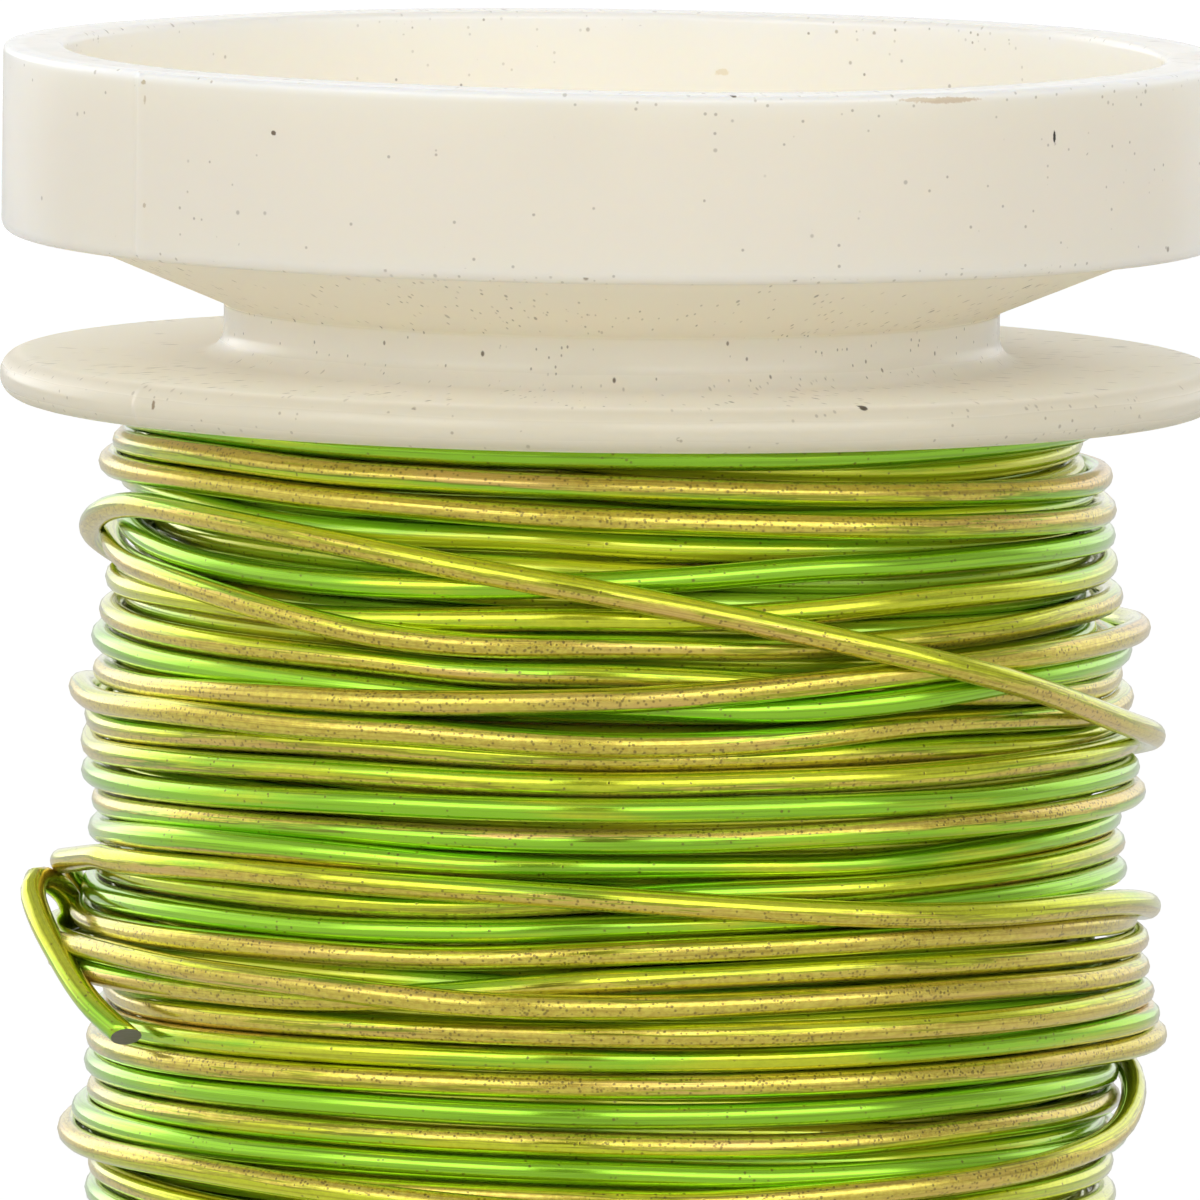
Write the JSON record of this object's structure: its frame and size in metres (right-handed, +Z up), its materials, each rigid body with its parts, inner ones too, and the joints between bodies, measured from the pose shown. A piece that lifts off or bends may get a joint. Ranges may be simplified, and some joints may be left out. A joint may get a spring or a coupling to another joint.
{
  "type": "wire spool",
  "caption": "Small craft wire spool with cup-shaped ends, tie-off grooves and flanges, wound with coloured wire and ending in a bent cut tail.",
  "frame": {"origin": "centre of the standing rim's plane, on the spool's axis", "axes": "+Z up along the spool's axis from the standing rim to the upper rim; the front, where the wire's last turns and cut tail show, faces -Y with the tail on the -X side"},
  "size_m": [0.024, 0.024, 0.0349],
  "materials": {
    "natural_plastic": "milky natural polypropylene, satin and slightly translucent, with fine specks and a faint mould line",
    "wire": "colour-lacquered copper wire, glossy lime green to gold, with fine scuffs"
  },
  "bodies": {
    "root": {"top_end": "natural_plastic", "bottom_end": "natural_plastic", "barrel_tube": "natural_plastic", "wire_inner_winding": "wire", "wire_outer_layer": "wire", "wire_last_turns": "wire"}
  },
  "joints": []
}
